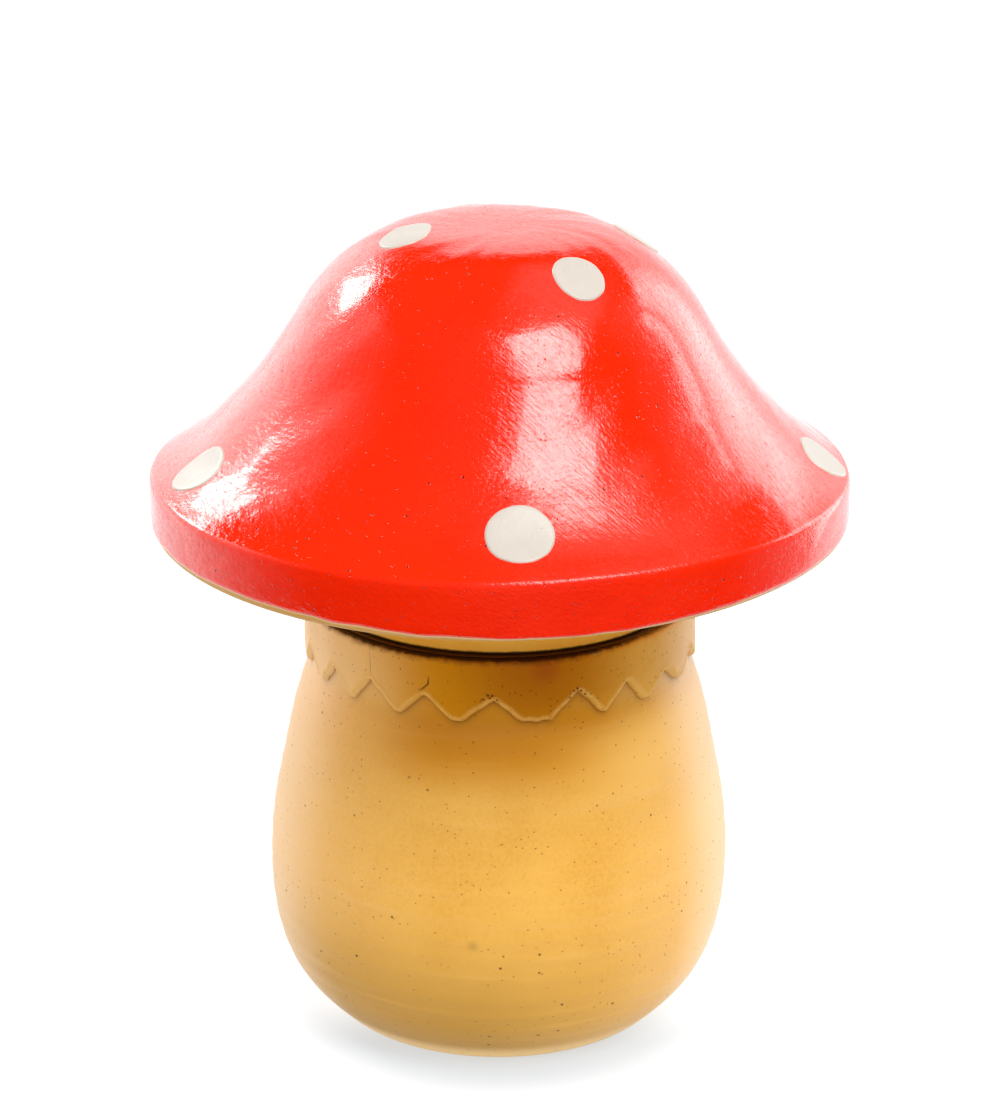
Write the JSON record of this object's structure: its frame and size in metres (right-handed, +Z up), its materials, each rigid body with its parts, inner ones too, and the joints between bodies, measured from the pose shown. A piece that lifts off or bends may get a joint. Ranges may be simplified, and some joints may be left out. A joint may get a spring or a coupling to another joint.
{
  "type": "mushroom jar ornament",
  "caption": "Small ceramic ornament in the form of a mushroom: a hollow bulb-shaped jar with a toothed collar, and a spotted bell-shaped cap that lifts off as its lid.",
  "frame": {"origin": "middle of the foot ring, on the surface that the jar stands on", "axes": "+Z up through the jar and its lid; -Y is the side the picture shows, +X is to its right"},
  "size_m": [0.0852, 0.0852, 0.1],
  "materials": {
    "ochre_clay": "satin ochre slip with fine dark pits",
    "red_glaze": "glossy red enamel with faint brush texture",
    "white_glaze": "thick warm white enamel"
  },
  "bodies": {
    "jar": {"jar_body": "ochre_clay", "tooth_collar": "ochre_clay"},
    "lid": {"lid_cap": "red_glaze", "lid_underside": "ochre_clay", "seat_ring": "ochre_clay", "lower_spot_1": "white_glaze", "lower_spot_2": "white_glaze", "lower_spot_3": "white_glaze", "lower_spot_4": "white_glaze", "lower_spot_5": "white_glaze", "upper_spot_1": "white_glaze", "upper_spot_2": "white_glaze", "upper_spot_3": "white_glaze", "upper_spot_4": "white_glaze"}
  },
  "joints": [
    {"name": "lid_lift", "type": "slide", "parent": "jar", "child": "lid", "axis": [0, 0, 1], "range_m": [0, 0.06]}
  ]
}
